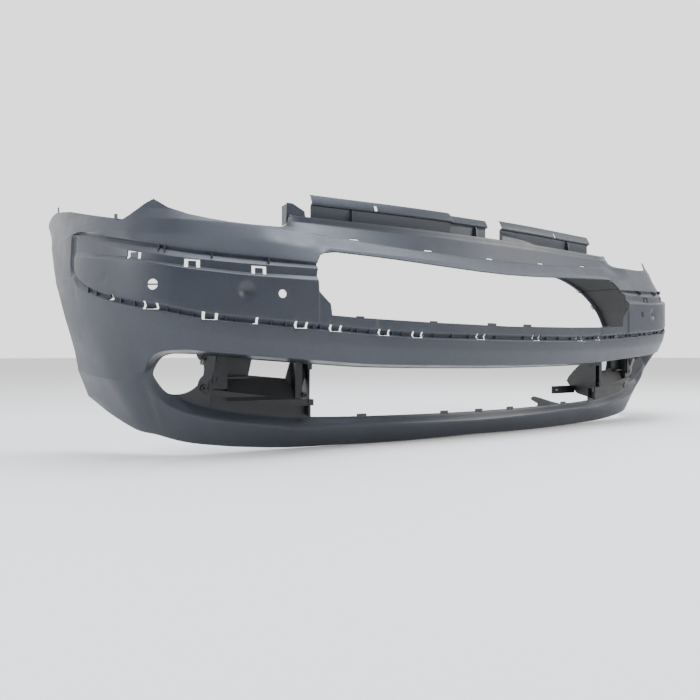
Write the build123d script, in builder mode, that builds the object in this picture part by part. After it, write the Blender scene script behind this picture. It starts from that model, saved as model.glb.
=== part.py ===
"""Front bumper cover of a compact people carrier: a thin moulding and the pieces fixed to it.

Millimetres, +Z up, nose towards -Y. The origin is midway between the two fixing holes in the top
flange, on that flange's upper face. Most shapes follow one plan line: s is the distance along it
from the middle (positive to the car's left, +X) and inset is the distance behind it.
"""
from build123d import *
import os

# ---------------------------------------------------------------- driving dimensions
half_width = 851.0          # middle to the widest point of a wing
wing_depth = 588.0          # nose to the rear end of the wings, along Y
nose_y = -129.0             # foremost point of the plan line
wall = 3.0                  # moulding thickness

flange_inset = 126.0        # rear edge of the top flange
grille_top_z = -91.0        # heights at the middle of the car
strip_top_z = -206.5
recess_edge_z = -237.0
bar_bottom_z = -291.0
lip_rear_z = -397.0
crest_z = -416.0
bottom_z = -451.0

arch_radius = 360.0         # wheel arch
arch_centre_y = 565.0
arch_centre_z = -325.0
arch_flange_width = 20.0
arch_hole_radius = 3.2
arch_hole_angles = (130.0, 143.0, 156.0)

fixing_spacing = 600.0      # the two holes in the top flange
fixing_radius = 4.25
panel_hole_s = 539.0        # round hole in each corner panel
panel_hole_z = -160.0
panel_hole_radius = 7.5
barred_hole_s = 760.0       # hole with a bar left across it
barred_hole_z = -150.0
barred_hole_radius = 8.5
bar_across = 2.5

clip_slot_length = 26.0     # U-shaped slots that take the trim strip's clips
clip_slot_height = 17.0
clip_slot_line = 4.5
lower_slot_places = (852, 767, 669, 596, 505, 434, 329, 251, 86)
upper_slot_places = (801, 697, 580)
upper_slot_height = 11.0
grille_slot_length = 20.0   # slots that take the grille's clips
grille_slot_height = 3.5
grille_slot_pitch = 180.0

deflector_wall = 2.5        # upper air deflectors
deflector_inset = 98.0
deflector_web = 24.0
deflector_height = 50.0
deflector_lean = 12.0
deflector_foot = 16.0
deflector_window_s = 286.0
deflector_window_z = 34.0
deflector_window = 8.0
left_deflector_outer = 445.0
left_deflector_inner = 75.0
right_deflector_outer = 438.0
right_deflector_inner = 28.0
fixing_clearance_radius = 11.0
right_clip_places = (-420.0, -250.0, -90.0)
left_clip_places = (420.0, 330.0, 230.0)
clip_inset = 107.5
clip_head_radius = 5.0
clip_head_height = 2.5
clip_shank_radius = 3.0
clip_shank_length = 14.0
clip_clearance = 0.4

lamp_x = 686.0              # fog lamp opening
lamp_z = -299.0
lamp_radius = 40.0
carrier_y = 46.0            # front face of the lamp carrier
carrier_wall = 3.0
carrier_top_z = -236.0
carrier_bottom_z = -349.0
carrier_outer_x = 742.0
carrier_inner_x = 622.0
screw_head_radius = 4.5
screw_head_height = 2.5
screw_shank_radius = 1.9
screw_shank_length = 10.0
screw_hole_radius = 2.0

duct_depth = 41.0            # side air ducts between the lamp carriers and the lower opening
duct_overlap = 20.0         # width of the joint with the lamp carrier
duct_top_z = -262.0
duct_bottom_z = -372.0
duct_foot_z = -404.0
right_duct_inner_x = 444.0
left_duct_inner_x = 330.0
window_outer_x = 552.0
window_inner_x = 482.0
window_top_z = -272.0
window_bottom_z = -311.0
rail_height = 20.0
rail_depth = 16.0
rail_outer_x = 660.0
hook_inner_x = 193.0        # bracket on the lip
hook_outer_x = 297.0
hook_top_z = -374.0
hook_width = 28.0
hook_y = -8.0
nut_wall = 1.2              # spring nuts on the arch flanges
nut_length = 20.0
nut_end_gap = 8.0
nut_half_angle = 1.1
nut_hole_radius = 2.4

# Plan line: distance out from the middle and back from the nose, before it is stretched.
plan_shape = [(0, 0), (212, 7), (381, 22), (538, 38), (603, 48), (690, 69.5), (750, 103), (795, 150),
              (828, 218), (846, 308), (851, 400), (848, 488), (843, 588)]
plan_shape_width = 851.0
plan_shape_depth = 588.0


# ---------------------------------------------------------------- plan line
right_half = [(x * half_width / plan_shape_width, nose_y + y * wing_depth / plan_shape_depth)
              for x, y in plan_shape]
left_half = [(-x, y) for x, y in reversed(right_half[1:])]
plan_line = Edge.make_spline([Vector(x, y, 0) for x, y in left_half + right_half])
half_length = plan_line.length / 2


def plan_plane(s, z=0.0):
    """Plane across the plan line at s: local x points inward, local y points up."""
    u = 0.5 + 0.5 * s / half_length
    point = plan_line @ u
    tangent = plan_line % u
    return Plane(origin=(point.X, point.Y, z), x_dir=(-tangent.Y, tangent.X, 0), z_dir=tangent)


def facing_plane(s, z, inset=0.0):
    """Plane facing outward at s, inset behind the plan line: local x runs along it, local y up."""
    across = plan_plane(s, z)
    point = across.origin + across.x_dir * inset
    return Plane(origin=point, x_dir=across.z_dir, z_dir=-across.x_dir)


def plan_point(s, inset, z):
    """Point at s along the plan line, inset behind it, at height z."""
    across = plan_plane(s, z)
    return across.origin + across.x_dir * inset


def along(line, s):
    """Value of a (distance, value) line at s, the same on both sides, level past its ends."""
    s = abs(s)
    if s <= line[0][0]:
        return line[0][1]
    for (s0, v0), (s1, v1) in zip(line, line[1:]):
        if s <= s1:
            return v0 + (v1 - v0) * (s - s0) / (s1 - s0)
    return line[-1][1]


# ---------------------------------------------------------------- the moulding's outer surface
# Each edge line gives its height and its inset as it runs from the middle (s = 0) to the wing's end.
# Heights of the lower lines are counted from the level that the line has at the middle.
edge_lines = [
    # rear edge of the top flange, which becomes the wing's top
    (0.0, [(0, 0), (480, 0), (560, 36)],
     [(0, flange_inset), (470, flange_inset), (560, 86), (640, 80), (780, 71), (840, 59), (945, 35),
      (1060, 17),
      (1260, 7)]),
    (0.0, [(0, 0), (480, 0), (560, 28)],
     [(0, 86), (470, 86), (560, 80), (640, 73), (780, 65), (840, 53), (945, 30), (1060, 14), (1260, 6)]),
    # line of the grille clips, which becomes the middle of the wing's upper surface
    (0.0, [(0, -55), (190, -51), (367, -42), (440, -34), (520, -30)],
     [(0, 66), (440, 66), (497, 72), (520, 64), (572, 52), (622, 48), (700, 44), (781, 40),
      (840, 32), (945, 18),
      (1060, 8), (1260, 3)]),
    (0.0, [(0, -72), (440, -66), (540, -62), (782, -58), (850, -50), (1260, -45)],
     [(0, 42), (440, 44), (540, 36), (780, 30), (840, 22), (945, 11), (1060, 4), (1260, 1.2)]),
    # upper edge of the trim recess
    (grille_top_z,
     [(0, 0), (190, 6), (350, 13), (425, 11), (470, -6), (570, -3), (682, 2), (782, 15), (850, 23),
                    (907, 29), (1260, 31)],
     [(0, 16), (460, 18), (540, 22), (700, 20), (850, 14), (907, 8), (960, 3.5), (1260, 0.8)]),
    # step that carries the upper clip slots
    (grille_top_z, [(0, -14), (470, -19), (570, -18), (714, -12), (824, 4), (880, 13), (960, 17)],
     [(0, 12), (850, 11), (907, 6), (960, 2.5), (1260, 0.5)]),
    (grille_top_z, [(0, -29), (470, -33), (580, -34), (700, -27), (810, -11), (870, -3), (960, 1)],
     [(0, 9), (850, 9), (907, 5), (960, 1.2), (1260, 0.3)]),
    # top and bottom of the panel
    (grille_top_z, [(0, -42), (570, -42), (690, -34), (780, -21), (850, -13), (900, -11), (1260, -14)],
     [(0, 5), (440, 5), (470, 0)]),
    (recess_edge_z,
     [(0, 13), (218, 14), (341, 19), (450, 25), (543, 31), (620, 37), (680, 42), (746, 54),
                     (820, 67), (865, 78), (920, 84)],
     [(0, 5), (440, 5), (470, 0), (900, 0), (1260, 0.2)]),
    (recess_edge_z, [(0, 6), (218, 7), (341, 12), (450, 18), (543, 24), (620, 30), (680, 35), (746, 47),
                     (820, 60), (865, 71), (920, 77)],
     [(0, 11), (440, 11), (470, 6), (880, 6), (960, 1.1), (1260, 0.5)]),
    # lower edge of the trim recess, then the beam below it
    (recess_edge_z,
     [(0, 0), (218, 1), (341, 6), (450, 12), (543, 18), (620, 24), (680, 29), (746, 41), (820, 54),
                     (865, 65), (920, 71)],
     [(0, 2), (450, 1), (600, 0), (1260, 1)]),
    (recess_edge_z, [(0, -25), (341, -19), (450, -13), (620, -1), (746, 14), (820, 26), (920, 42)],
     [(0, 4), (600, 4), (740, 7), (1260, 9)]),
    (bar_bottom_z,
     [(0, 0), (206, 2), (340, 5), (465, 13), (590, 22), (664, 28), (707, 33), (800, 36), (1260, 41)],
     [(0, 14), (600, 14), (700, 18), (780, 22), (1260, 22)]),
    # inside of the lower opening's hollow
    (bar_bottom_z, [(0, -9), (206, -7), (340, -4), (465, 4), (590, 13), (664, 19), (707, 22), (800, 22),
                    (1260, 26)],
     [(0, 62), (650, 62), (700, 54), (760, 40), (800, 32), (850, 27), (1260, 27)]),
    (lip_rear_z,
     [(0, 0), (330, 3), (450, 7), (550, 19), (650, 39), (700, 52), (750, 62), (800, 72), (1260, 82)],
     [(0, 103), (600, 103), (700, 96), (760, 76), (800, 54), (850, 47), (1260, 38)]),
    # nose of the lip, then the bottom edge and its turned-in flange
    (crest_z,
     [(0, 0), (190, 3), (385, 7), (440, 9), (545, 19), (612, 28), (648, 37), (688, 50), (750, 63),
               (900, 72), (1030, 82)],
     [(0, 90), (600, 88), (700, 84), (800, 70), (900, 56), (1030, 43)]),
    (bottom_z,
     [(0, 0), (450, 1), (591, 10), (640, 15), (733, 24), (830, 36), (885, 43), (960, 69), (1030, 103)],
     [(0, 108), (733, 108), (820, 104), (885, 96), (960, 72), (1030, 48)]),
    (bottom_z,
     [(0, 3), (450, 4), (591, 13), (640, 18), (733, 27), (830, 39), (885, 46), (960, 72), (1030, 106)],
     [(0, 120), (733, 120), (820, 116), (885, 108), (960, 82), (1030, 56)]),
]
TOP_EDGE = 1
CLIP_LINE = 2
STEP_TOP = 5
RECESS_EDGE = 10
BEAM_EDGE = 12
LIP_EDGE = 14
NOSE = 15
stations = [0, 150, 300, 400, 470, 540, 610, 670, 720, 765, 810, 855, 900, 950, 1010, 1080, 1160,
            half_length - 2]


def edge_z(index, s):
    """Height of one edge line at s."""
    level, rise, _ = edge_lines[index]
    return level + along(rise, s)


def edge_inset(index, s):
    """Inset of one edge line at s."""
    return along(edge_lines[index][2], s)


def section(s, thickness, first=0, last=len(edge_lines)):
    """Closed outline of the moulding's cross-section at s: its outer line, and that line set inward."""
    outer = [Vector(edge_inset(i, s), edge_z(i, s)) for i in range(first, last)]
    inner = []
    for i, point in enumerate(outer):
        before = outer[max(i - 1, 0)]
        after = outer[min(i + 1, len(outer) - 1)]
        into = (point - before).normalized() if i else (after - point).normalized()
        out_of = (after - point).normalized() if i < len(outer) - 1 else into
        normal = Vector(-into.Y - out_of.Y, into.X + out_of.X)
        half_turn = max(normal.length / 2, 0.6)
        inner.append(point - normal.normalized() * (-thickness / half_turn))
    return outer + inner[::-1]


def mirrored(places):
    """The same distances on both sides of the middle."""
    return [side * s for s in places for side in (-1, 1)]


def arch_hole_x(angle):
    """Distance of an arch flange hole from the middle: halfway across the flange."""
    y = arch_centre_y + (arch_radius + wall / 2) * Vector(1, 0, 0).rotate(Axis.Z, angle).X
    s = min(range(900, int(half_length)), key=lambda place: abs(plan_point(place, 0, 0).Y - y))
    return plan_point(s, 0, 0).X - wall - arch_flange_width / 2


def place_box(x_range, y_range, z_range, mode=Mode.ADD):
    """Block between two x, two y and two z values."""
    spans = [sorted(values) for values in (x_range, y_range, z_range)]
    with Locations(tuple((low + high) / 2 for low, high in spans)):
        Box(*[high - low for low, high in spans], mode=mode)


# ---------------------------------------------------------------- cutters for the moulding
grille_outline = [(0, -91), (190, -84.5), (350, -76), (425, -73.5), (445, -78), (460, -99), (466, -116),
                  (468.5, -133), (467, -151), (443, -174), (440, -195), (381, -198), (212, -203),
                  (0, strip_top_z)]
intake_top = [(0, -14), (206, -12), (340, -9), (465, -1), (590, 8), (650, 14)]
intake_bottom = [(650, 40), (550, 22), (450, 10), (330, 6), (0, 3)]
headlamp_outline = [(480, 60), (493, -17), (505, -27), (517, -29), (570, -32), (613, -31), (648, -27),
                    (680, -21), (710, -9), (731, 8), (731, 60)]
fender_outline = [(32, 60), (32, 7), (40, -11), (51, -31), (135, -13), (324, 23), (389, 25), (431, 18),
                  (431, -60), (600, -60), (600, 60)]
arch_centre = (0, arch_centre_y, arch_centre_z)


def both_halves(outline):
    """An outline that starts and ends on the middle, closed with its mirror image."""
    return outline + [(-x, z) for x, z in reversed(outline) if x]


def facing_slot(s, z, inset, length, height, depth):
    """Straight slot through the moulding at s."""
    with BuildSketch(facing_plane(s, z, inset)) as slot:
        Rectangle(length, height)
    extrude(slot.sketch, amount=depth, both=True)


def clip_slot(s, z, inset, height, opens_up):
    """U-shaped slot round a springy tongue, joined at its upper end when opens_up is 1."""
    with BuildSketch(facing_plane(s, z, inset)) as slot:
        Rectangle(clip_slot_length, height)
        with Locations((0, opens_up * clip_slot_line / 2)):
            Rectangle(clip_slot_length - 2 * clip_slot_line, height - clip_slot_line, mode=Mode.SUBTRACT)
    extrude(slot.sketch, amount=9, both=True)


with BuildPart() as front_cutters:
    with BuildSketch(Plane.XZ.offset(60)):
        Polygon(*both_halves(grille_outline), align=None)
    extrude(amount=90)
    intake = [(x, bar_bottom_z + z) for x, z in intake_top]
    intake += [(x, lip_rear_z + z) for x, z in intake_bottom]
    with BuildSketch(Plane.XZ.offset(-60)):
        Polygon(*both_halves(intake), align=None)
        with Locations((lamp_x, lamp_z), (-lamp_x, lamp_z)):
            Circle(lamp_radius)
    extrude(amount=72)
    with BuildSketch(Plane.XZ.offset(12)):
        Polygon(*both_halves(intake), align=None)
    extrude(amount=90)
    for side in (-1, 1):
        with BuildSketch(Plane.XZ.offset(-34)):
            Polygon(*[(side * x, z) for x, z in headlamp_outline], align=None)
        extrude(amount=180)
    for x in (-fixing_spacing / 2, fixing_spacing / 2):
        with BuildSketch(Plane.XY.offset(-8)):
            with Locations((x, 0)):
                Circle(fixing_radius)
        extrude(amount=16)

with BuildPart() as side_cutters:
    with BuildSketch(Plane.YZ.offset(-half_width - 50)):
        Polygon(*fender_outline, align=None)
    extrude(amount=2 * half_width + 100)
    with BuildSketch(Plane.YZ.offset(-half_width - 50)):
        with Locations((arch_centre_y, arch_centre_z)):
            Circle(arch_radius)
    extrude(amount=2 * half_width + 100)

with BuildPart() as slot_cutters:
    for s in mirrored(lower_slot_places):
        clip_slot(s, edge_z(RECESS_EDGE, s) + clip_slot_height / 2, 3, clip_slot_height, 1)
    for s in mirrored(upper_slot_places):
        clip_slot(s, (edge_z(STEP_TOP, s) + edge_z(STEP_TOP + 1, s)) / 2, 9, upper_slot_height, -1)
    for s in [step * grille_slot_pitch for step in range(-2, 3)]:
        facing_slot(s, edge_z(CLIP_LINE, s) + 6, 66, grille_slot_length, grille_slot_height, 9)
    for s in mirrored([panel_hole_s]):
        with BuildSketch(facing_plane(s, panel_hole_z)):
            Circle(panel_hole_radius)
        extrude(amount=9, both=True)
    with BuildSketch(facing_plane(-barred_hole_s, barred_hole_z)):
        Circle(barred_hole_radius)
        Rectangle(2 * barred_hole_radius, bar_across, mode=Mode.SUBTRACT)
    extrude(amount=9, both=True)
    for s in right_clip_places + left_clip_places:
        point = plan_point(s, clip_inset, 0)
        with BuildSketch(Plane.XY.offset(-8)):
            with Locations((point.X, point.Y)):
                Circle(clip_shank_radius + clip_clearance)
        extrude(amount=16)


# ---------------------------------------------------------------- the moulding
with BuildPart() as arch_flange:
    for side in (-1, 1):
        for s in [place for place in stations if place >= 900]:
            near = [(edge_inset(i, s) + wall / 2, edge_z(i, s)) for i in range(CLIP_LINE, NOSE + 2)]
            far = [(edge_inset(i, s) + arch_flange_width, edge_z(i, s))
                   for i in range(CLIP_LINE, NOSE + 2)]
            with BuildSketch(plan_plane(side * s)):
                Polygon(*(near + far[::-1]), align=None)
        loft()
    with BuildSketch(Plane.YZ.offset(-half_width - 50)):
        with Locations((arch_centre_y, arch_centre_z)):
            Circle(arch_radius + wall)
            Circle(arch_radius, mode=Mode.SUBTRACT)
    extrude(amount=2 * half_width + 100, mode=Mode.INTERSECT)

with BuildPart() as bumper_skin:
    for s in sorted({-s for s in stations} | set(stations)):
        with BuildSketch(plan_plane(s)):
            Polygon(*[(point.X, point.Y) for point in section(s, wall)], align=None)
    loft()
    add(arch_flange.part)
    add(front_cutters.part, mode=Mode.SUBTRACT)
    add(side_cutters.part, mode=Mode.SUBTRACT)
    add(slot_cutters.part, mode=Mode.SUBTRACT)
    for side in (-1, 1):
        for angle in arch_hole_angles:
            radial = Plane(origin=arch_centre, x_dir=(1, 0, 0),
                           z_dir=Vector(0, 1, 0).rotate(Axis.X, angle))
            with BuildSketch(radial.offset(arch_radius - 5)):
                with Locations((side * arch_hole_x(angle), 0)):
                    Circle(arch_hole_radius)
            extrude(amount=15, mode=Mode.SUBTRACT)


def behind_skin(rough):
    """A piece trimmed to the moulding's inner face; what would lie in or in front of it is left out."""
    return (rough - bumper_skin.part).solids().sort_by(SortBy.VOLUME)[-1]


# ---------------------------------------------------------------- upper air deflectors
def deflector_body(start, end, gussets):
    """Leaning panel along the plan line on a foot that rests on the top flange."""
    near, far = deflector_inset, deflector_inset + deflector_foot
    outline = [(near, -1.5), (far, -1.5), (far, deflector_wall), (near + deflector_wall, deflector_wall),
               (near + deflector_wall + deflector_lean, deflector_height),
               (near + deflector_lean, deflector_height)]
    profiles = []
    for step in range(7):
        with BuildSketch(plan_plane(start + (end - start) * step / 6)) as profile:
            Polygon(*outline, align=None)
        profiles.append(profile.sketch.face())
    loft(sections=profiles)
    for s in gussets:
        with BuildSketch(plan_plane(s)) as gusset:
            Polygon((near + 1, 1), (far, 1), (far, deflector_wall),
                    (near + 9, deflector_height * 0.6), align=None)
        extrude(gusset.sketch, amount=deflector_wall / 2, both=True)


def deflector_openings(places, window_s):
    """Clip holes, room for the fixing bolts, and the square window in the panel."""
    for s in places:
        point = plan_point(s, clip_inset, -5)
        with Locations((point.X, point.Y, 0)):
            Cylinder(clip_shank_radius + clip_clearance, 20, mode=Mode.SUBTRACT)
    for x in (-fixing_spacing / 2, fixing_spacing / 2):
        with Locations((x, 0, 0)):
            Cylinder(fixing_clearance_radius, 20, mode=Mode.SUBTRACT)
    with BuildSketch(facing_plane(window_s, deflector_window_z, deflector_inset + 8)) as window:
        Rectangle(deflector_window, deflector_window)
    extrude(window.sketch, amount=9, both=True, mode=Mode.SUBTRACT)


with BuildPart() as right_deflector_rough:
    deflector_body(-right_deflector_outer, right_deflector_inner, (-360, -180))
    deflector_openings(right_clip_places, -deflector_window_s)
    place_box((-86, 60), (-60, 40), (deflector_height - 6, deflector_height + 5), mode=Mode.SUBTRACT)

with BuildPart() as left_deflector_rough:
    deflector_body(left_deflector_inner, left_deflector_outer, (360, 265))
    deflector_openings(left_clip_places, deflector_window_s)
    with BuildSketch(Plane.XZ.offset(60)):
        Polygon((0, -10), (0, 20), (150, 20), (209, 4), (209, -10), align=None)
    extrude(amount=-120, mode=Mode.SUBTRACT)

with BuildPart() as deflector_right:
    add(behind_skin(right_deflector_rough.part))

with BuildPart() as deflector_left:
    add(behind_skin(left_deflector_rough.part))

with BuildPart() as deflector_clips:
    for s in right_clip_places + left_clip_places:
        point = plan_point(s, clip_inset, 0)
        with Locations((point.X, point.Y, deflector_wall + clip_head_height / 2)):
            Cylinder(clip_head_radius, clip_head_height)
        with Locations((point.X, point.Y, deflector_wall - clip_shank_length / 2)):
            Cylinder(clip_shank_radius, clip_shank_length)
        with Locations((point.X, point.Y, deflector_wall - clip_shank_length - 2)):
            Cone(1.2, clip_shank_radius, 4)


# ---------------------------------------------------------------- fog lamp carriers
def screw_holes(places):
    """Clearance holes for the bracket screws."""
    for x, y, z in places:
        with BuildSketch(Plane.XZ.offset(-y - 3)) as hole:
            with Locations((x, z)):
                Circle(screw_hole_radius)
        extrude(hole.sketch, amount=16, mode=Mode.SUBTRACT)


def screw_places(side):
    """Where the screws sit: x, the plane under the head, z."""
    inner_x = left_duct_inner_x if side > 0 else right_duct_inner_x
    joint_x = carrier_inner_x + duct_overlap / 2
    rail_z = duct_bottom_z + rail_height / 2
    joint = [(side * joint_x, carrier_y + 2 * carrier_wall, z) for z in (-282, -332)]
    rail = [(side * x, carrier_y + 3 * carrier_wall, rail_z) for x in (inner_x + 30, 600)]
    return joint, rail


def carrier(side):
    """Plate behind the fog lamp opening with ribs that reach the moulding."""
    back = carrier_y + carrier_wall
    place_box((side * carrier_inner_x, side * carrier_outer_x), (carrier_y, back),
              (carrier_bottom_z, carrier_top_z))
    with BuildSketch(Plane.XZ.offset(-back - 1)) as hole:
        with Locations((side * lamp_x, lamp_z)):
            Circle(lamp_radius - 2)
    extrude(hole.sketch, amount=carrier_wall + 2, mode=Mode.SUBTRACT)
    for x in (660, 712):
        place_box((side * x, side * (x + carrier_wall)), (-95, back),
                  (carrier_top_z - 14, carrier_top_z - 2))
    place_box((side * 733, side * 736), (-95, back), (-325, -275))
    screw_holes(screw_places(side)[0])


with BuildPart() as left_carrier_rough:
    carrier(1)

with BuildPart() as right_carrier_rough:
    carrier(-1)

with BuildPart() as lamp_carrier_left:
    add(behind_skin(left_carrier_rough.part))

with BuildPart() as lamp_carrier_right:
    add(behind_skin(right_carrier_rough.part))


# ---------------------------------------------------------------- side air ducts and their rails
duct_front = carrier_y + carrier_wall
duct_back = duct_front + carrier_wall
left_duct_outline = [(carrier_inner_x + duct_overlap, duct_top_z),
                     (carrier_inner_x + duct_overlap, duct_bottom_z),
                     (left_duct_inner_x + 41, duct_bottom_z), (left_duct_inner_x + 41, duct_foot_z),
                     (left_duct_inner_x + 15, duct_foot_z), (left_duct_inner_x + 15, duct_bottom_z),
                     (left_duct_inner_x, -345), (left_duct_inner_x, -324), (363, -304), (386, -291),
                     (469, -289),
                     (476, duct_top_z)]
right_duct_outline = [(-carrier_inner_x - duct_overlap, duct_top_z),
                      (-carrier_inner_x - duct_overlap, duct_bottom_z),
                      (-right_duct_inner_x - 26, duct_bottom_z), (-right_duct_inner_x - 26, duct_foot_z),
                      (-right_duct_inner_x, duct_foot_z), (-right_duct_inner_x, duct_top_z)]


def duct(side, outline, foot_x):
    """Plate with a window, the short duct round the window, and a foot rib that reaches the lip."""
    with BuildSketch(Plane.XZ.offset(-duct_back)) as plate:
        Polygon(*outline, align=None)
    extrude(plate.sketch, amount=carrier_wall)
    window_width = window_outer_x - window_inner_x
    window_height = window_top_z - window_bottom_z
    with BuildSketch(Plane.XZ.offset(-duct_back)) as frame:
        with Locations((side * (window_outer_x + window_inner_x) / 2,
                        (window_top_z + window_bottom_z) / 2)):
            Rectangle(window_width + 2 * carrier_wall, window_height + 2 * carrier_wall)
    extrude(frame.sketch, amount=duct_depth + carrier_wall)
    place_box((side * window_inner_x, side * window_outer_x), (-20, 80), (window_bottom_z, window_top_z),
              mode=Mode.SUBTRACT)
    place_box((side * foot_x, side * (foot_x + carrier_wall)), (-100, duct_back),
              (duct_foot_z, duct_foot_z + 6))
    joint, rail = screw_places(side)
    screw_holes(joint + rail)


def duct_rail(side, inner_x):
    """Channel along the foot of a duct, open to the rear."""
    ends = (side * (inner_x + 12), side * rail_outer_x)
    top = duct_bottom_z + rail_height
    place_box(ends, (duct_back, duct_back + rail_depth), (duct_bottom_z, top))
    place_box(ends, (duct_back + carrier_wall, duct_back + rail_depth + 1),
              (duct_bottom_z + carrier_wall, top - carrier_wall), mode=Mode.SUBTRACT)
    screw_holes(screw_places(side)[1])


with BuildPart() as left_duct_rough:
    duct(1, left_duct_outline, left_duct_inner_x + 15)

with BuildPart() as right_duct_rough:
    duct(-1, right_duct_outline, right_duct_inner_x)

with BuildPart() as air_duct_left:
    add(behind_skin(left_duct_rough.part))

with BuildPart() as air_duct_right:
    add(behind_skin(right_duct_rough.part))

with BuildPart() as duct_rail_left:
    duct_rail(1, left_duct_inner_x)

with BuildPart() as duct_rail_right:
    duct_rail(-1, right_duct_inner_x)

with BuildPart() as bracket_screws:
    for side in (-1, 1):
        joint, rail = screw_places(side)
        for x, y, z in joint + rail:
            with BuildSketch(Plane.XZ.offset(-y)):
                with Locations((x, z)):
                    Circle(screw_head_radius)
            extrude(amount=-screw_head_height)
            with BuildSketch(Plane.XZ.offset(-y)):
                with Locations((x, z)):
                    Circle(screw_shank_radius)
            extrude(amount=screw_shank_length)


# ---------------------------------------------------------------- hook bracket on the lip
with BuildPart() as hook_rough:
    place_box((hook_inner_x, hook_outer_x), (hook_y, hook_y + carrier_wall), (duct_foot_z, hook_top_z))
    place_box((hook_inner_x, hook_outer_x), (-30, hook_y + carrier_wall), (duct_foot_z, duct_foot_z + 4))
    place_box((hook_inner_x, hook_inner_x + hook_width), (hook_y - 20, hook_y + carrier_wall),
              (hook_top_z - carrier_wall, hook_top_z))

with BuildPart() as hook_bracket:
    add(behind_skin(hook_rough.part))


# ---------------------------------------------------------------- spring nuts on the arch flanges
with BuildPart() as arch_spring_nuts:
    for side in (-1, 1):
        for angle in arch_hole_angles:
            free_edge = arch_hole_x(angle) + wall - arch_flange_width / 2
            bend = free_edge - nut_end_gap
            along_arch = Vector(0, 0, 1).rotate(Axis.X, angle - nut_half_angle)
            with BuildSketch(Plane(origin=arch_centre, x_dir=(1, 0, 0), z_dir=along_arch)):
                with Locations((side * (bend - nut_wall + nut_length / 2), arch_radius + wall / 2)):
                    Rectangle(nut_length, wall + 2 * nut_wall)
                with Locations((side * (bend + nut_length / 2), arch_radius + wall / 2)):
                    Rectangle(nut_length, wall, mode=Mode.SUBTRACT)
            revolve(axis=Axis(arch_centre, (1, 0, 0)), revolution_arc=2 * nut_half_angle)
            radial = Plane(origin=arch_centre, x_dir=(1, 0, 0),
                           z_dir=Vector(0, 1, 0).rotate(Axis.X, angle))
            with BuildSketch(radial.offset(arch_radius - 5)):
                with Locations((side * arch_hole_x(angle), 0)):
                    Circle(nut_hole_radius)
            extrude(amount=15, mode=Mode.SUBTRACT)


# ---------------------------------------------------------------- export
os.makedirs("parts", exist_ok=True)
bumper_skin.part.label = "bumper_skin"
export_step(bumper_skin.part, "parts/bumper_skin.step")
deflector_left.part.label = "deflector_left"
export_step(deflector_left.part, "parts/deflector_left.step")
deflector_right.part.label = "deflector_right"
export_step(deflector_right.part, "parts/deflector_right.step")
deflector_clips.part.label = "deflector_clips"
export_step(deflector_clips.part, "parts/deflector_clips.step")
lamp_carrier_left.part.label = "lamp_carrier_left"
export_step(lamp_carrier_left.part, "parts/lamp_carrier_left.step")
lamp_carrier_right.part.label = "lamp_carrier_right"
export_step(lamp_carrier_right.part, "parts/lamp_carrier_right.step")
air_duct_left.part.label = "air_duct_left"
export_step(air_duct_left.part, "parts/air_duct_left.step")
air_duct_right.part.label = "air_duct_right"
export_step(air_duct_right.part, "parts/air_duct_right.step")
duct_rail_left.part.label = "duct_rail_left"
export_step(duct_rail_left.part, "parts/duct_rail_left.step")
duct_rail_right.part.label = "duct_rail_right"
export_step(duct_rail_right.part, "parts/duct_rail_right.step")
bracket_screws.part.label = "bracket_screws"
export_step(bracket_screws.part, "parts/bracket_screws.step")
hook_bracket.part.label = "hook_bracket"
export_step(hook_bracket.part, "parts/hook_bracket.step")
arch_spring_nuts.part.label = "arch_spring_nuts"
export_step(arch_spring_nuts.part, "parts/arch_spring_nuts.step")
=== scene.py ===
"""Looks of the front bumper cover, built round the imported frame. Lengths below are in millimetres."""
import math
import bpy
import numpy as np
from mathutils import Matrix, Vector
from mathutils.geometry import delaunay_2d_cdt
from mathutils.kdtree import KDTree


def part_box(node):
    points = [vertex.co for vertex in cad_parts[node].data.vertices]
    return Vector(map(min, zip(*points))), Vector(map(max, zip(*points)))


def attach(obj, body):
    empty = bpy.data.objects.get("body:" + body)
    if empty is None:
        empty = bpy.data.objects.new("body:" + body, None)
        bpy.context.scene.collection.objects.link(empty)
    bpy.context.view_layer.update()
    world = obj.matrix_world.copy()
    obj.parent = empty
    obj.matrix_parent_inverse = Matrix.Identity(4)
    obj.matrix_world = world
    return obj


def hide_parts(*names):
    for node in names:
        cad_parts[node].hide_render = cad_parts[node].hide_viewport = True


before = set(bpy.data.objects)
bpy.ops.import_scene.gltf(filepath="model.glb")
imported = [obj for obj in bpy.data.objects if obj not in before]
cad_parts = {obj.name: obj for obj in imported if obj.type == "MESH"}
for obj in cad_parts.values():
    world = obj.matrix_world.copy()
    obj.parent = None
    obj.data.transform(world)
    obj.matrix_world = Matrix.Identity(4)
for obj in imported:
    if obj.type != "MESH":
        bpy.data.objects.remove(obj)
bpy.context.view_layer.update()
MM = 0.001

# ------------------------------------------------------------------ sizes
WALL = 2.6                 # thickness of the moulding
SHEET = 2.4                # thickness of the inner brackets
ARCH = (565.0, -325.0, 360.0)   # wheel arch: centre along Y, centre height, radius
ARCH_FLANGE = 18.0
LAMP = (686.0, -299.0, 41.0)    # fog lamp hole: distance out, height, radius
HALF_WIDTH = (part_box("bumper_skin")[1][0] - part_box("bumper_skin")[0][0]) / 2 / MM - 1.8

# Plan line of the cover: distance out from the middle and position along Y.
PLAN = [(0, -129), (212, -122), (381, -107), (538, -91), (603, -81), (690, -59.5), (750, -26), (795, 21),
        (828, 89), (846, 179), (851, 271), (848, 359), (843, 459)]

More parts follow.
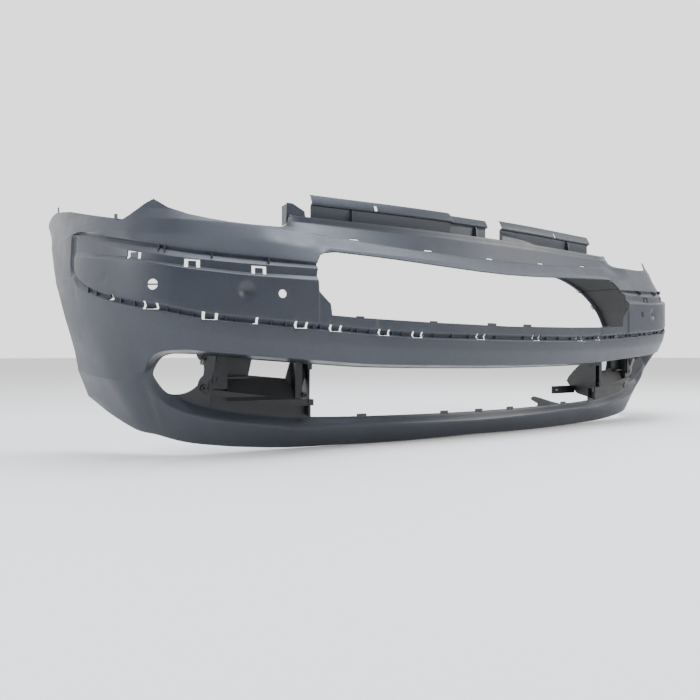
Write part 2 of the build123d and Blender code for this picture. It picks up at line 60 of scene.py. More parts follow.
# Edge lines from the top flange down to the bottom return flange. Each has its height and its inset
# behind the plan line at distances from the middle, and the radius of its edge.
EDGES = {
    "flange_rear": ([(0, 0), (484, 0), (520, 36), (1270, 36)],
                    [(0, 126), (470, 126), (520, 94), (640, 82), (780, 73), (840, 60), (945, 36),
                     (1060, 19), (1260, 8)], 1.0),
    "flange_front": ([(0, 0), (484, 0), (500, 6), (540, 26), (1270, 26)],
                     [(0, 86), (470, 86), (520, 82), (640, 75), (780, 67), (840, 54), (945, 31), (1060, 15),
                      (1260, 6)], 1.6),
    "shelf_foot": ([(0, -13), (484, -12), (500, -8), (540, 7), (1270, 8)],
                   [(0, 85), (470, 85), (520, 77), (570, 72), (640, 67), (780, 59), (840, 47.5), (945, 28),
                    (1060, 13), (1260, 5)], 3.0),
    "ledge_rear": ([(0, -55), (92, -53), (190, -51), (367, -42), (440, -36), (500, -24), (560, -14),
                    (1270, -10)],
                   [(0, 66), (440, 66), (497, 75), (570, 64), (700, 57), (781, 51), (840, 41), (945, 25),
                    (1060, 11), (1260, 4)], 1.0),
    "ledge_front": ([(0, -57), (190, -53), (367, -44), (440, -39), (520, -34), (1270, -30)],
                    [(0, 61), (440, 61), (497, 69), (520, 64), (572, 50), (622, 47), (700, 44), (781, 40),
                     (840, 32), (945, 17), (1060, 7), (1260, 3)], 2.0),
    "upper_face": ([(0, -74), (440, -66), (540, -62), (782, -58), (850, -52), (1270, -46)],
                   [(0, 40), (440, 42), (540, 36), (780, 30), (840, 22), (945, 11), (1060, 4),
                    (1260, 1)], 6.0),
    "recess_top": ([(0, -91), (80, -89.5), (190, -84.5), (286, -79), (350, -76), (425, -73.5), (457, -97),
                    (570, -94), (682, -89), (782, -76), (850, -65), (907, -55), (965, -47), (1270, -47)],
                   [(0, 16), (457, 22), (540, 20), (700, 20), (850, 17), (907, 9), (965, 3),
                    (1260, 1)], 0.8),
    "groove": ([(0, -95), (190, -88), (350, -80), (425, -77.5), (457, -101), (570, -98), (682, -93),
                (782, -80), (850, -69), (907, -59), (965, -50), (1270, -50)],
               [(0, 19), (457, 25), (700, 24), (850, 21), (907, 13), (965, 5), (985, 1.5),
                (1260, 0.8)], 0.7),
    "riser_top": ([(0, -105), (425, -98), (457, -110), (594, -109), (714, -103), (824, -87), (880, -75),
                   (965, -62), (1270, -62)],
                  [(0, 11), (880, 11), (950, 6), (985, 1), (1260, 0.5)], 1.2),
    "riser_foot": ([(0, -120), (457, -125), (580, -125), (700, -118), (810, -102), (870, -94), (965, -82),
                    (1270, -80)],
                   [(0, 9.5), (880, 9.5), (950, 5), (985, 0.6), (1260, 0.3)], 0.7),
    "panel_top": ([(0, -133), (470, -133), (570, -131), (690, -124), (780, -111), (850, -103), (900, -98),
                   (965, -94), (1270, -92)],
                  [(0, 5), (340, 5), (350, 3), (466, 3), (470, 0)], 3.0),
    "panel_foot": ([(0, -224), (218, -223), (341, -218.5), (450, -212), (543, -206), (620, -200.5),
                    (680, -195), (746, -183), (820, -170), (865, -159), (919, -141), (948, -124),
                    (965, -108), (1270, -104)],
                   [(0, 5), (340, 5), (350, 3), (466, 3), (470, 0)], 1.5),
    "ledge": ([(0, -231), (218, -230), (341, -225.5), (450, -219), (543, -213), (620, -207.5), (680, -202),
               (746, -190), (820, -177), (865, -166), (919, -149), (948, -134), (965, -118), (1270, -114)],
              [(0, 11), (340, 11), (350, 9), (466, 9), (472, 7), (900, 6.5), (950, 6), (975, 2),
               (985, 0.4)], 0.7),
    "recess_foot": ([(0, -237), (218, -236), (341, -231.5), (450, -225), (543, -219), (620, -213.5),
                     (680, -208), (746, -196), (820, -183), (865, -172), (919, -156), (948, -143),
                     (965, -130), (1270, -126)],
                    [(0, 2.5), (450, 1), (600, 0), (900, 0), (1260, 0.5)], 1.2),
    "beam": ([(0, -262), (341, -256), (450, -250), (620, -238), (746, -223), (820, -211), (900, -197),
              (1270, -190)],
             [(0, 4), (600, 3), (740, 6), (820, 9), (900, 9), (1260, 9)], 8.0),
    "beam_foot": ([(0, -291), (206, -289), (340, -286), (465, -278), (590, -269), (664, -263), (707, -259),
                   (750, -261), (770, -267), (785, -277), (795, -288), (802, -296), (840, -286),
                   (1270, -250)],
                  [(0, 14), (600, 14), (700, 18), (750, 24), (775, 30), (790, 36), (802, 42), (840, 33),
                   (900, 26), (1260, 22)], 2.0),
    "bowl_top": ([(0, -296), (206, -294), (340, -291), (465, -283), (590, -274), (664, -268), (700, -265),
                  (740, -264.5), (764, -268), (776, -273), (785, -281), (793, -292), (802, -300),
                  (840, -298), (1270, -262)],
                 [(0, 58), (650, 60), (700, 62), (740, 66), (765, 66), (785, 59), (796, 50), (808, 43),
                  (840, 37), (900, 30), (1260, 23)], 2.0),
    "lip_rear": ([(0, -397), (330, -394), (450, -390), (550, -382), (650, -365), (700, -353), (740, -344),
                  (764, -338), (776, -331), (785, -322), (793, -311), (802, -305), (840, -312),
                  (1270, -275)],
                 [(0, 103), (600, 103), (700, 101), (740, 94), (765, 84), (785, 68), (796, 54), (808, 47),
                  (840, 42), (900, 34), (1260, 24)], 2.0),
    "crest": ([(0, -416), (190, -413), (400, -408), (445, -410), (545, -399), (613, -390), (679, -379),
               (740, -366), (764, -358), (780, -347), (793, -334), (804, -324), (830, -334), (900, -346),
               (1270, -346)],
              [(0, 90), (600, 87), (700, 84), (749, 80), (775, 72), (790, 62), (800, 56), (840, 57),
               (900, 58), (1030, 46)], 5.0),
    "foot": ([(0, -450), (230, -451), (450, -449), (591, -441), (640, -436), (733, -427), (830, -415),
              (885, -410), (960, -382), (1030, -348), (1270, -348)],
             [(0, 108), (733, 108), (820, 106), (885, 98), (960, 73), (1030, 48)], 3.0),
    "foot_flange": ([(0, -448), (230, -449), (450, -447), (591, -439), (640, -434), (733, -425),
                     (830, -413), (885, -408), (960, -380), (1030, -347), (1270, -347)],
                    [(0, 122), (733, 122), (820, 119), (885, 110), (960, 83), (1030, 57)], 1.0),
}
NAMES = list(EDGES)
ROW = {name: i for i, name in enumerate(NAMES)}

# Outlines seen from the front (distance out, height) and from the side (Y, height).
GRILLE = [(0, -91), (80, -89.5), (190, -84.5), (286, -79), (350, -76), (425, -73.5), (438, -75), (447, -80),
          (454, -90), (460, -99), (466, -116), (468.5, -133), (467, -151), (455, -163), (443, -174),
          (441, -185), (440, -195), (381, -198), (212, -203), (0, -206)]
HEADLAMP = [(484, -1), (486, -8), (489, -15), (494, -21), (505, -27), (517, -29), (545, -31), (570, -32),
            (613, -31), (648, -27), (680, -21), (710, -9), (729, 7)]
WING_TOP = [(32, 7), (36, 0), (40, -11), (45, -23), (51, -31), (70, -27), (135, -13), (210, 4), (324, 22),
            (389, 24), (431, 18)]
CLIP_SLOTS_LOW = (766, 667, 503, 433, 328, 251, 86)
CLIP_SLOTS_LOW_HALF = (852, 596)
CLIP_SLOTS_HIGH = (801, 697, 580)

# Stage: floor height, and the camera's place in metres, angles in degrees and lens in millimetres.
FLOOR_Z = -451.6
CAMERA_PLACE = (-1.067, -1.112, -0.268)
CAMERA_TURN = 33.3
CAMERA_PITCH = 0.44
CAMERA_LENS = 33.43


# ------------------------------------------------------------------ plan line and surface
def pchip(knots, at):
    """Smooth monotone curve through the knots, level beyond its ends."""
    x, y = (np.array(values, float) for values in zip(*knots))
    step, slope = np.diff(x), np.diff(y) / np.diff(x)
    tangent = np.zeros(len(x))
    same = slope[1:] * slope[:-1] > 0
    left, right = 2 * step[1:] + step[:-1], step[1:] + 2 * step[:-1]
    with np.errstate(divide="ignore", invalid="ignore"):
        mean = (left + right) / (left / slope[:-1] + right / slope[1:])
    tangent[1:-1] = np.where(same, mean, 0)
    at = np.clip(at, x[0], x[-1])
    k = np.clip(np.searchsorted(x, at, "right") - 1, 0, len(x) - 2)
    t = (at - x[k]) / step[k]
    return ((2 * t**3 - 3 * t**2 + 1) * y[k] + (t**3 - 2 * t**2 + t) * step[k] * tangent[k]
            + (-2 * t**3 + 3 * t**2) * y[k + 1] + (t**3 - t**2) * step[k] * tangent[k + 1])


def spline(points, per_span=60):
    """Dense natural cubic spline through the points."""
    points = np.array(points, float)
    knots = np.concatenate([[0], np.cumsum(np.linalg.norm(np.diff(points, axis=0), axis=1))])
    h = np.diff(knots)
    n = len(knots)
    system, right = np.eye(n), np.zeros((n, 2))
    for i in range(1, n - 1):
        system[i, i - 1:i + 2] = h[i - 1], 2 * (h[i - 1] + h[i]), h[i]
        right[i] = 6 * ((points[i + 1] - points[i]) / h[i] - (points[i] - points[i - 1]) / h[i - 1])
    bend = np.linalg.solve(system, right)
    out = []
    for i in range(n - 1):
        t = np.linspace(0, h[i], per_span, endpoint=False)[:, None]
        u = h[i] - t
        out.append((bend[i] * u**3 + bend[i + 1] * t**3) / (6 * h[i])
                   + (points[i] / h[i] - bend[i] * h[i] / 6) * u
                   + (points[i + 1] / h[i] - bend[i + 1] * h[i] / 6) * t)
    return np.vstack(out + [points[-1:]])


half = [(x * HALF_WIDTH / 851, y) for x, y in PLAN]
plan_points = spline([(-x, y) for x, y in half[:0:-1]] + half)
plan_s = np.concatenate([[0], np.cumsum(np.linalg.norm(np.diff(plan_points, axis=0), axis=1))])
S_END = plan_s[-1] / 2
plan_s -= S_END
plan_tangent = np.gradient(plan_points, plan_s, axis=0)
plan_tangent /= np.linalg.norm(plan_tangent, axis=1)[:, None]


def plan(s):
    """Point and tangent of the plan line at distances s from the middle."""
    point = np.stack([np.interp(s, plan_s, plan_points[:, i]) for i in (0, 1)], -1)
    tangent = np.stack([np.interp(s, plan_s, plan_tangent[:, i]) for i in (0, 1)], -1)
    return point, tangent / np.linalg.norm(tangent, axis=-1, keepdims=True)


def place(s, inset, z):
    """3-D points from distance along the plan line, inset behind it and height."""
    s, inset, z = np.broadcast_arrays(np.asarray(s, float), inset, z)
    point, tangent = plan(s)
    return np.stack([point[..., 0] - tangent[..., 1] * inset, point[..., 1] + tangent[..., 0] * inset, z],
                    -1)


TABLE_STEP = 0.25
table_s = np.arange(0, 1400, TABLE_STEP)
TABLES = [np.stack([pchip(EDGES[n][i], table_s) for n in NAMES], -1) for i in (0, 1)]


def edge_values(s):
    """Heights and insets of every edge line at distances s: arrays of (len(s), lines)."""
    at = np.abs(s) / TABLE_STEP
    k = at.astype(int)
    t = (at - k)[..., None]
    return [table[k] * (1 - t) + table[k + 1] * t for table in TABLES]


sample_z, sample_d = edge_values(np.array([0.0, 200, 400, 550, 650, 720, 880]))
EDGE_W = np.concatenate([[0], np.cumsum(np.hypot(np.diff(sample_z), np.diff(sample_d)).mean(0))])
EDGE_R = np.array([EDGES[n][2] for n in NAMES])
EDGE_R = np.minimum(EDGE_R,
                    0.48 * np.minimum(np.diff(EDGE_W, prepend=-9), np.diff(EDGE_W, append=EDGE_W[-1] + 9)))


def profile(s, w):
    """Height and inset at distance s and girth w, with every edge line rounded."""
    s, w = np.broadcast_arrays(np.asarray(s, float), np.asarray(w, float))
    shape, w = s.shape, w.ravel()
    places, index = np.unique(s.ravel(), return_inverse=True)
    k = np.clip(np.searchsorted(EDGE_W, w, "right") - 1, 0, len(EDGE_W) - 2)
    out = []
    for values in edge_values(places):
        slopes = np.diff(values, axis=1) / np.diff(EDGE_W)
        slopes = np.concatenate([slopes[:, :1], slopes, slopes[:, -1:]], 1)
        result = values[index, k] + slopes[index, k + 1] * (w - EDGE_W[k])
        for corner in (k, k + 1):
            near = np.maximum(EDGE_R[corner] - np.abs(w - EDGE_W[corner]), 0)
            turn = slopes[index, corner + 1] - slopes[index, corner]
            result = result + turn * near**2 / (4 * EDGE_R[corner])
        out.append(result.reshape(shape))
    return out


def s_at(x, inset):
    """Distance along the plan line of the points at x that lie inset behind it."""
    s = np.asarray(x, float) * 1.02
    for _ in range(12):
        s = np.clip(s + x - place(s, inset, 0)[..., 0], -S_END, S_END)
    return s


def bump(distance, radius):
    """Smooth hill: 1 at distance 0 and 0 beyond radius."""
    t = np.clip(1 - (distance / radius)**2, 0, 1)
    return t * t


def features(s, z):
    """Extra inset of the small shapes pressed into the faces."""
    a = np.abs(s)
    extra = 5.5 * bump(np.hypot(a - 604, z + 158), 19)
    extra += 2.0 * bump(np.hypot(a - 858, z + 138), 11)
    top, foot = pchip(EDGES["groove"][0], a), pchip(EDGES["ledge"][0], a)
    inside = np.clip((top - z) / 6, 0, 1) * np.clip((z - foot + 4) / 6, 0, 1)
    extra += 4.0 * inside * np.clip((a - 957) / 5, 0, 1) * np.clip((976 - a) / 3, 0, 1)
    return extra


def surface(s, w):
    """3-D points of the cover's outer face."""
    z, d = profile(s, w)
    return place(s, d + features(s, z), z)


def girth(s, z, top="flange_rear", foot="foot"):
    """Girth at which the face reaches height z at distance s, between two edge lines."""
    w = np.linspace(EDGE_W[ROW[top]], EDGE_W[ROW[foot]], 400)
    return float(np.interp(-z, -profile(np.full(400, s), w)[0], w))


def on_face(target, z, view, top="flange_rear", foot="foot"):
    """(s, girth) of the face point that shows at a distance out (view 0) or at a Y (view 1) and height z."""
    s = float(np.interp(abs(target) if view == 0 else target, plan_points[len(plan_points) // 2:, view],
                        plan_s[len(plan_points) // 2:]))
    for _ in range(8):
        w = girth(s, z, top, foot)
        here = surface(np.array([s]), np.array([w]))[0][view]
        miss = (abs(target) if view == 0 else target) - here
        s += miss / max(plan(np.array([s]))[1][0][view], 0.15)
        s = min(max(s, 0.0), S_END)
    return (-s if view == 0 and target < 0 else s), girth(s, z, top, foot)


# ------------------------------------------------------------------ outlines cut in the face
def dense(points, step=4.0):
    """Open polyline with extra points so that no stretch is longer than step."""
    out = [points[0]]
    for a, b in zip(points, points[1:]):
        n = max(1, int(math.ceil(math.hypot(b[0] - a[0], b[1] - a[1]) / step)))
        out += [(a[0] + (b[0] - a[0]) * i / n, a[1] + (b[1] - a[1]) * i / n) for i in range(1, n + 1)]
    return out


def ring(s, z, radius, top, foot, start=0.0, stop=360.0, count=24):
    """Round outline or arc at (s, z) in the face."""
    angles = np.radians(np.linspace(start, stop, count, endpoint=stop - start < 360))
    return [(s + radius * math.cos(a), girth(s + radius * math.cos(a), z + radius * math.sin(a), top, foot))
            for a in angles]


def boxed(corners, top, foot, step=3.0):
    """Closed outline in the face from its corners as (s, height)."""
    loop = dense(corners + corners[:1], step)[:-1]
    return [(s, girth(s, z, top, foot)) for s, z in loop]


def u_slot(s, closed_z, height, length, line, up, top, foot, half=False):
    """U-shaped slot round a tongue: closed at height closed_z, open at the other end; up is 1 or -1."""
    a, b = s - length / 2, s + length / 2
    low, high = closed_z, closed_z + height
    corners = [(a, high), (a, low), (b, low), (b, high), (b - line, high),
               (b - line, low + up * line * 0.55),
               (a + line, low + up * line * 0.55), (a + line, high)]
    if half:
        corners = [(a, high), (a, low), (a + length * 0.42, low),
                   (a + length * 0.42, low + up * line * 0.6),
                   (a + line, low + up * line * 0.6), (a + line, high)]
    return boxed(corners, top, foot)


def cover_outlines():
    """Outer outline of the cover in the (s, girth) plane, and its holes."""
    right = [(s, w) for s, w in [on_face(x, z, 0, "flange_rear", "recess_top") for x, z in dense(HEADLAMP)]]
    right += [on_face(y, z, 1, "flange_rear", "recess_top") for y, z in dense(WING_TOP)]
    cy, cz, r = ARCH
    first = math.degrees(math.acos((WING_TOP[-1][0] - cy) / r))
    last = 183.6
    for angle in np.radians(np.linspace(first, last, 90)):
        y, z = cy + r * math.cos(angle), cz + r * math.sin(angle)
        right.append(on_face(y, z, 1, "flange_rear", "foot"))
    turn = right[-1][0]
    foot = [(s, EDGE_W[-1]) for s in np.arange(turn - 3, 0, -6.0)]
    side = [(s, EDGE_W[0]) for s in np.arange(0, 482, 6.0)] + right + foot
    outer = side + [(-s, w) for s, w in side[::-1]]
    grille = [on_face(x, z, 0, "upper_face", "panel_foot") for x, z in dense(GRILLE, 3)]
    holes = [grille + [(-s, w) for s, w in grille[::-1] if s > 0.01]]
    low, high = EDGE_W[ROW["bowl_top"]] + 1.5, EDGE_W[ROW["lip_rear"]] - 1.0
    middle, turn_at, end = (low + high) / 2, 764, 790
    lens = [(s, low) for s in np.arange(0, turn_at, 6.0)]
    lens += [(turn_at + (end - turn_at) * math.sin(t)**0.8, middle - (middle - low) * math.copysign(
        abs(math.cos(t))**0.8, math.cos(t))) for t in np.linspace(0.08, math.pi - 0.08, 20)]
    lens += [(s, high) for s in np.arange(turn_at - 4, 0, -6.0)]
    holes.append(lens + [(-s, w) for s, w in lens[::-1] if s > 0.01])
    for sign in (-1, 1):
        for s in CLIP_SLOTS_LOW + CLIP_SLOTS_LOW_HALF:
            z = float(pchip(EDGES["recess_foot"][0], s)) + 1.0
            wide = 27 if s > 600 else 26
            hole = u_slot(s, z, 17, wide, 5.0, 1, "panel_foot", "beam", s in CLIP_SLOTS_LOW_HALF)
            holes.append([(sign * a, w) for a, w in hole])
        for s in CLIP_SLOTS_HIGH:
            z = float(pchip(EDGES["riser_foot"][0], s)) + 13.0
            hole = u_slot(s, z, -15, 27, 6.5, -1, "riser_top", "panel_foot")
            holes.append([(sign * a, w) for a, w in hole])
        holes.append([(sign * a, w) for a, w in ring(539.5, -160, 7.5, "panel_top", "panel_foot")])
    for start, stop in ((8, 172), (188, 352)):
        holes.append([(-a, w) for a, w in ring(762, -150, 9.0, "panel_top", "panel_foot", start, stop, 16)])
    for s in (-361, -180, 0, 180, 361):
        z = float(pchip(EDGES["ledge_rear"][0], abs(s)))
        holes.append(boxed([(s - 11, z + 5.5), (s - 11, z + 1.5), (s + 11, z + 1.5), (s + 11, z + 5.5)],
                           "flange_front", "upper_face"))
    for x in (-300, 300):
        s = float(s_at(x, 114.7))
        middle_w = EDGE_W[ROW["flange_rear"]] + (126 - 114.7) * (EDGE_W[1] - EDGE_W[0]) / 40
        holes.append([(s + 4.25 * math.cos(t), middle_w + 4.25 * math.sin(t))
                      for t in np.linspace(0, 2 * math.pi, 20, endpoint=False)])
    return outer, holes


def inside(points, outline):
    """Which points lie in a closed outline."""
    outline = np.array(outline)
    x, y = points[:, 0], points[:, 1]
    result = np.zeros(len(points), bool)
    box = ((x >= outline[:, 0].min()) & (x <= outline[:, 0].max())
           & (y >= outline[:, 1].min()) & (y <= outline[:, 1].max()))
    px, py = x[box], y[box]
    odd = np.zeros(len(px), bool)
    for (x0, y0), (x1, y1) in zip(outline, np.roll(outline, -1, axis=0)):
        if y0 != y1:
            crosses = (y0 > py) != (y1 > py)
            odd ^= crosses & (px < (x1 - x0) * (py - y0) / (y1 - y0) + x0)
    result[box] = odd
    return result


def near_outline(points, outlines, gap):
    """Which points lie within gap of any outline point."""
    corners = np.vstack([np.array(outline) for outline in outlines])
    tree = KDTree(len(corners))
    for i, (x, y) in enumerate(corners):
        tree.insert((x, y, 0), i)
    tree.balance()
    return np.array([tree.find((x, y, 0))[2] < gap for x, y in points])


def triangulate(outer, holes, grid, gap=1.2):
    """Triangles of the region between an outline and its holes, with grid points inside it."""
    keep = inside(grid, outer)
    for hole in holes:
        keep &= ~inside(grid, hole)
    grid = grid[keep]
    grid = grid[~near_outline(grid, [outer] + holes, gap)]
    points, edges = [Vector(p) for p in grid], []
    for outline in [outer] + holes:
        base = len(points)
        points += [Vector(p) for p in outline]
        edges += [(base + i, base + (i + 1) % len(outline)) for i in range(len(outline))]
    flat, _, faces, *_ = delaunay_2d_cdt(points, edges, [], 0, 1e-5)
    flat = np.array([tuple(p) for p in flat])
    faces = np.array([tuple(f) for f in faces if len(f) == 3])
    centres = flat[faces].mean(axis=1)
    good = inside(centres, outer)
    for hole in holes:
        good &= ~inside(centres, hole)
    faces = faces[good]
    used, index = np.unique(faces, return_inverse=True)
    return flat[used], index.reshape(-1, 3)


# ------------------------------------------------------------------ mesh helpers
def make_object(name, points, faces, slot, smooth=35):
    """Object from millimetre points and faces, riding on the body and using one material slot."""
    mesh = bpy.data.meshes.new(name)
    mesh.from_pydata([tuple(p) for p in np.asarray(points, float) * MM], [],
                     [tuple(map(int, f)) for f in faces])
    mesh.validate()
    mesh.shade_smooth()
    mesh.set_sharp_from_angle(angle=math.radians(smooth))
    made = bpy.data.objects.new(name, mesh)
    bpy.context.collection.objects.link(made)
    made.data.materials.append(MATERIALS[slot])
    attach(made, "root")
    return made


def thicken(points, faces, thickness, rim=True):
    """Closed shell: the sheet, a copy set inward by thickness, and a rim along every open edge."""
    points, faces = np.asarray(points, float), np.asarray(faces, int)
    a, b, c = (points[faces[:, i]] for i in range(3))
    face_normal = np.cross(b - a, c - a)
    normal = np.zeros_like(points)
    for i in range(3):
        np.add.at(normal, faces[:, i], face_normal)
    normal /= np.maximum(np.linalg.norm(normal, axis=1), 1e-9)[:, None]
    n = len(points)
    both = np.vstack([points, points - normal * thickness])
    out = [tuple(f) for f in faces] + [(f[2] + n, f[1] + n, f[0] + n) for f in faces]
    edges = {}
    for f in faces:
        for i in range(3):
            edges[(f[i], f[(i + 1) % 3])] = True
    if rim:
        out += [(j, i, i + n, j + n) for i, j in edges if (j, i) not in edges]
    return both, out


class Pieces:
    """Collects small solids and sheets that share one object."""

    def __init__(self):
        self.points, self.faces = [], []

    def add(self, points, faces):
        base = sum(len(p) for p in self.points)
        self.points.append(np.asarray(points, float))
        self.faces += [tuple(int(i) + base for i in f) for f in faces]

    def loft(self, rows, closed=True, caps=True):
        """Skin over rows of matching points."""
        rows = np.asarray(rows, float)
        m, n = rows.shape[:2]
        span = n if closed else n - 1
        faces = [(r * n + i, r * n + (i + 1) % n, (r + 1) * n + (i + 1) % n, (r + 1) * n + i)
                 for r in range(m - 1) for i in range(span)]
        if caps and closed:
            faces += [tuple(range(n))[::-1], tuple((m - 1) * n + i for i in range(n))]
        self.add(rows.reshape(-1, 3), faces)

    def block(self, s, d, z, steps=1):
        """Block between two distances, two insets and two heights, following the plan line."""
        rows = []
        for place_s in np.linspace(s[0], s[1], steps + 1):
            rows.append(place(place_s, np.array([d[0], d[1], d[1], d[0]]),
                              np.array([z[0], z[0], z[1], z[1]])))
        self.loft(rows)

    def plate(self, outline, inset, thickness, holes=(), lean=0.0, step=12.0):
        """Plate along the plan line, cut to an outline of (distance out, height)."""
        outer = dense(outline + outline[:1], step)[:-1]
        cut = [dense(hole + hole[:1], step)[:-1] for hole in holes]
        low, high = np.min(outer, axis=0), np.max(outer, axis=0)
        grid = np.array([(x, y) for x in np.arange(low[0], high[0], step)
                         for y in np.arange(low[1], high[1], step)])
        flat, faces = triangulate(outer, cut, grid.reshape(-1, 2), 4.0)
        depth = inset + lean * (flat[:, 1] - low[1])
        points = place(s_at(flat[:, 0], depth), depth, flat[:, 1])
        a, b, c = points[faces[0]]
        if np.dot(np.cross(b - a, c - a), (0, -1, 0)) < 0:
            faces = faces[:, ::-1]
        self.add(*thicken(points, faces, thickness))

    def tube(self, centre, direction, radius, length, sides=20, inner=0.0):
        """Cylinder, or pipe when inner is given, from its first end centre along a direction."""
        direction = Vector(direction).normalized()
        turn = direction.to_track_quat("Z", "Y")
        circle = [turn @ Vector((math.cos(t), math.sin(t), 0))
                  for t in np.linspace(0, 2 * math.pi, sides, False)]
        ends = [Vector(centre), Vector(centre) + direction * length]
        rows = [[e + c * radius for c in circle] for e in ends]
        if inner:
            rows = [[ends[0] + c * inner for c in circle]] + rows + [[ends[1] + c * inner for c in circle]]
            rows.append(rows[0])
        self.loft(rows, caps=not inner)

    def build(self, name, slot, smooth=35):
        return make_object(name, np.vstack(self.points), self.faces, slot, smooth)


# ------------------------------------------------------------------ materials
def node(tree, kind, **values):
    """Shader node with its named inputs set."""
    made = tree.nodes.new(kind)
    for name, value in values.items():
        if hasattr(made, name):
            setattr(made, name, value)
        else:
            made.inputs[name.replace("_", " ")].default_value = value
    return made


def plastic(name, dark, light, inner, roughness, grain, metallic=0.0):
    """Moulded surface: cloudy colour, fine grain, uneven gloss and a few rubbed patches."""
    made = bpy.data.materials.new(name)
    made.use_nodes = True
    tree = made.node_tree
    link = tree.links.new
    shader = tree.nodes["Principled BSDF"]
    shader.inputs["Metallic"].default_value = metallic
    where = node(tree, "ShaderNodeTexCoord").outputs["Object"]
    clouds = node(tree, "ShaderNodeTexNoise", Scale=5.0, Detail=5.0, Roughness=0.55)
    speck = node(tree, "ShaderNodeTexNoise", Scale=260.0, Detail=3.0, Roughness=0.6)
    fine = node(tree, "ShaderNodeTexNoise", Scale=grain, Detail=2.0, Roughness=0.5)
    rubbed = node(tree, "ShaderNodeTexNoise", Scale=22.0, Detail=8.0, Roughness=0.7)
    for texture in (clouds, speck, fine, rubbed):
        link(where, texture.inputs["Vector"])
    base = node(tree, "ShaderNodeMix", data_type="RGBA")
    base.inputs["A"].default_value = (*dark, 1)
    base.inputs["B"].default_value = (*light, 1)
    spread = node(tree, "ShaderNodeMapRange", From_Min=0.35, From_Max=0.65)
    link(clouds.outputs["Fac"], spread.inputs["Value"])
    link(spread.outputs["Result"], base.inputs["Factor"])
    specks = node(tree, "ShaderNodeMix", data_type="RGBA", blend_type="MULTIPLY")
    specks.inputs["Factor"].default_value = 0.35
    tint = node(tree, "ShaderNodeMapRange", From_Min=0.3, From_Max=0.7, To_Min=0.75, To_Max=1.2)
    link(speck.outputs["Fac"], tint.inputs["Value"])
    link(base.outputs["Result"], specks.inputs["A"])
    link(tint.outputs["Result"], specks.inputs["B"])
    # the 'inner' vertex value blends in the dark colour: the bare inner side, and painted shade in the
    # hollow of the intake
    side = node(tree, "ShaderNodeAttribute", attribute_name="inner")
    both = node(tree, "ShaderNodeMix", data_type="RGBA")
    both.inputs["B"].default_value = (*inner, 1)
    link(side.outputs["Fac"], both.inputs["Factor"])
    link(specks.outputs["Result"], both.inputs["A"])
    link(both.outputs["Result"], shader.inputs["Base Color"])
    gloss = node(tree, "ShaderNodeMapRange", From_Min=0.3, From_Max=0.75,
                 To_Min=roughness - 0.05, To_Max=roughness + 0.09)
    link(rubbed.outputs["Fac"], gloss.inputs["Value"])
    link(gloss.outputs["Result"], shader.inputs["Roughness"])
    relief = node(tree, "ShaderNodeBump", Strength=0.12, Distance=0.0004)
    link(fine.outputs["Fac"], relief.inputs["Height"])
    link(relief.outputs["Normal"], shader.inputs["Normal"])
    return made


MATERIALS = {
    # third colour: the dark bare inner side, which on the cover also serves as the painted shade in the
    # hollow of the intake
    "cover": plastic("cover_primer", (0.030, 0.035, 0.046), (0.037, 0.043, 0.057), (0.006, 0.0065, 0.008),
                     0.40, 1400),
    "bracket": plastic("bracket_black", (0.006, 0.0065, 0.0075), (0.011, 0.0115, 0.013),
                       (0.006, 0.006, 0.007), 0.42,
                       900),
    "clip": plastic("clip_nylon", (0.012, 0.012, 0.014), (0.020, 0.020, 0.022), (0.012, 0.012, 0.014),
                    0.35, 700),
    "steel": plastic("zinc_steel", (0.42, 0.41, 0.38), (0.55, 0.54, 0.50), (0.4, 0.4, 0.38), 0.34, 1100,
                     1.0),
}


# ------------------------------------------------------------------ the cover
def mark_bare_side_and_painted_shade(made, places, girths):
    """Vertex value that gives the bare inner side its dark colour, and paints shade on the outer face down
    in the hollow of the intake.
    """
    count = len(girths)
    values = np.zeros(len(made.data.vertices), np.float32)
    # painted shade: on the outer face the value rises towards the bottom of the intake hollow, to 0.85 at
    # most, and fades out near the hollow's end
    depth = (girths - EDGE_W[ROW["beam_foot"]]) / (EDGE_W[ROW["bowl_top"]] - EDGE_W[ROW["beam_foot"]])
    depth = np.clip(depth * 3 - 0.2, 0, 0.85) * np.clip((802 - np.abs(places)) / 12, 0, 1)
    values[:count] = np.where(girths < EDGE_W[ROW["bowl_top"]] + 5, depth, 0)
    values[count:2 * count] = 1
    made.data.attributes.new("inner", "FLOAT", "POINT").data.foreach_set("value", values)


def cover_grid():
    """Rows on and beside every edge line, columns along the cover, closer where it bends."""
    rows = set()
    for w, r in zip(EDGE_W, EDGE_R):
        rows |= {round(float(w + r * k), 3) for k in (-1, -0.5, 0, 0.5, 1)}
    rows = sorted(w for w in rows if EDGE_W[0] < w < EDGE_W[-1])
    full = []
    for a, b in zip(rows, rows[1:]):
        n = max(1, int(math.ceil((b - a) / 9)))
        full += [a + (b - a) * i / n for i in range(n)]
    half_s = list(np.arange(0, 560, 10)) + list(np.arange(560, 980, 6)) + list(np.arange(980, S_END, 10))
    half_s += [484, 486, 488, 490, 493, 341.5, 344.5, 347.5, 351, 464.5, 467, 469.5, 471.5, 956, 958.5,
               961, 972.5, 974, 976]
    half_s = sorted(set(round(float(s), 2) for s in half_s))
    columns = [-s for s in half_s[:0:-1]] + half_s
    dimple = [(sign * (604 + x), girth(604 + x, -158 + y, "panel_top", "panel_foot"))
              for sign in (-1, 1) for x in range(-18, 19, 3) for y in range(-18, 19, 3)]
    return np.array([(s, w) for s in columns for w in full] + dimple)


